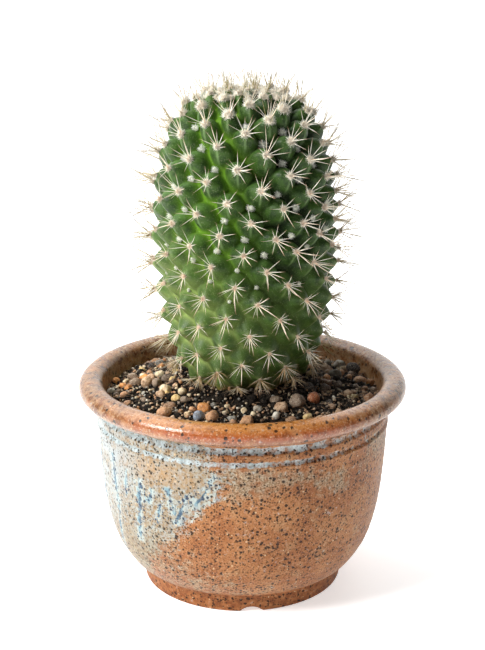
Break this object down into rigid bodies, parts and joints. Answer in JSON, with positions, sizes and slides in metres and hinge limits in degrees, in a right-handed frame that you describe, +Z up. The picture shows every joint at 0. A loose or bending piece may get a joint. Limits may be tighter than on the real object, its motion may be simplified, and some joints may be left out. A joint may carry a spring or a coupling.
{
  "type": "potted cactus",
  "caption": "Column-shaped cactus with spiral tubercles and spines, in a round stoneware pot of gritty potting mix with pebbles.",
  "frame": {"origin": "on the surface the pot stands on, under the middle of the pot", "axes": "+Z up along the stem, the pictured front of the pot faces -Y, +X to its right"},
  "size_m": [0.12, 0.12, 0.1902],
  "materials": {
    "stoneware": "orange-brown speckled stoneware, satin glaze with a pale blue and cream wash, bare clay foot",
    "potting_mix": "dark crumbly peat with beige, ochre and grey grit and pebbles",
    "cactus_skin": "green waxy skin, cream wool areoles, cream and tan spines",
    "potsherd": "bare fired clay"
  },
  "bodies": {
    "root": {"pot": "stoneware", "soil": "potting_mix", "cactus": "cactus_skin", "drain_crock": "potsherd"}
  },
  "joints": []
}
